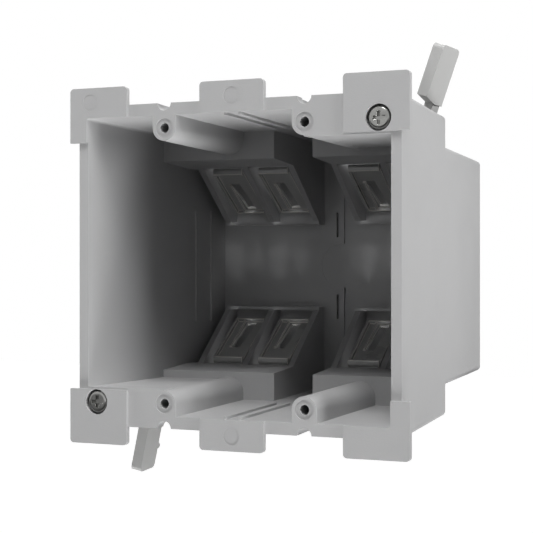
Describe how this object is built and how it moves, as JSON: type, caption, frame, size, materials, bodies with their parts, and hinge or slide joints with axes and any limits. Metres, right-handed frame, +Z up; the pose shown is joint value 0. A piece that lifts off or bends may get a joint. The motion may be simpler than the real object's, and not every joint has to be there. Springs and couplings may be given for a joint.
{
  "type": "drywall back box",
  "caption": "Plastic back box for switches and outlets in existing drywall, with swing wings, ears and cable tongues.",
  "frame": {"origin": "middle of the four device screw holes, in the plane of the rim's front face", "axes": "+X right across the opening, +Y back into the wall, +Z up"},
  "size_m": [0.1122, 0.0911, 0.135],
  "materials": {
    "box_plastic": "satin moulded grey",
    "wing_plastic": "satin moulded grey",
    "screw_steel": "zinc plated"
  },
  "bodies": {
    "box": {"box_shell": "box_plastic"},
    "upper_screw": {"upper_clamp_screw": "screw_steel"},
    "upper_wing": {"upper_swing_wing": "wing_plastic"},
    "lower_screw": {"lower_clamp_screw": "screw_steel"},
    "lower_wing": {"lower_swing_wing": "wing_plastic"},
    "upper_tongue_1": {"upper_cable_tongue_1": "box_plastic"},
    "lower_tongue_1": {"lower_cable_tongue_1": "box_plastic"},
    "upper_tongue_2": {"upper_cable_tongue_2": "box_plastic"},
    "lower_tongue_2": {"lower_cable_tongue_2": "box_plastic"},
    "upper_tongue_3": {"upper_cable_tongue_3": "box_plastic"},
    "lower_tongue_3": {"lower_cable_tongue_3": "box_plastic"},
    "upper_tongue_4": {"upper_cable_tongue_4": "box_plastic"},
    "lower_tongue_4": {"lower_cable_tongue_4": "box_plastic"}
  },
  "joints": [
    {"name": "upper_wing_swing", "type": "hinge", "parent": "box", "child": "upper_screw", "pos_m": [0.0462, 0, 0.0419], "axis": [0, -1, 0], "range_deg": [0, 95]},
    {"name": "upper_wing_travel", "type": "slide", "parent": "upper_screw", "child": "upper_wing", "axis": [0, -1, 0], "range_m": [0, 0.022]},
    {"name": "lower_wing_swing", "type": "hinge", "parent": "box", "child": "lower_screw", "pos_m": [-0.0462, 0, -0.0419], "axis": [0, -1, 0], "range_deg": [-7.5, 87.5]},
    {"name": "lower_wing_travel", "type": "slide", "parent": "lower_screw", "child": "lower_wing", "axis": [0, -1, 0], "range_m": [0, 0.022]},
    {"name": "upper_tongue_1_flex", "type": "hinge", "parent": "box", "child": "upper_tongue_1", "pos_m": [0, 0.0614, 0.0322], "axis": [-1, 0, 0], "range_deg": [0, 35], "stiffness_Nm_per_rad": 0.02},
    {"name": "lower_tongue_1_flex", "type": "hinge", "parent": "box", "child": "lower_tongue_1", "pos_m": [0, 0.0614, -0.0322], "axis": [1, 0, 0], "range_deg": [0, 35], "stiffness_Nm_per_rad": 0.02},
    {"name": "upper_tongue_2_flex", "type": "hinge", "parent": "box", "child": "upper_tongue_2", "pos_m": [0, 0.0614, 0.0322], "axis": [-1, 0, 0], "range_deg": [0, 35], "stiffness_Nm_per_rad": 0.02},
    {"name": "lower_tongue_2_flex", "type": "hinge", "parent": "box", "child": "lower_tongue_2", "pos_m": [0, 0.0614, -0.0322], "axis": [1, 0, 0], "range_deg": [0, 35], "stiffness_Nm_per_rad": 0.02},
    {"name": "upper_tongue_3_flex", "type": "hinge", "parent": "box", "child": "upper_tongue_3", "pos_m": [0, 0.0614, 0.0322], "axis": [-1, 0, 0], "range_deg": [0, 35], "stiffness_Nm_per_rad": 0.02},
    {"name": "lower_tongue_3_flex", "type": "hinge", "parent": "box", "child": "lower_tongue_3", "pos_m": [0, 0.0614, -0.0322], "axis": [1, 0, 0], "range_deg": [0, 35], "stiffness_Nm_per_rad": 0.02},
    {"name": "upper_tongue_4_flex", "type": "hinge", "parent": "box", "child": "upper_tongue_4", "pos_m": [0, 0.0614, 0.0322], "axis": [-1, 0, 0], "range_deg": [0, 35], "stiffness_Nm_per_rad": 0.02},
    {"name": "lower_tongue_4_flex", "type": "hinge", "parent": "box", "child": "lower_tongue_4", "pos_m": [0, 0.0614, -0.0322], "axis": [1, 0, 0], "range_deg": [0, 35], "stiffness_Nm_per_rad": 0.02}
  ]
}
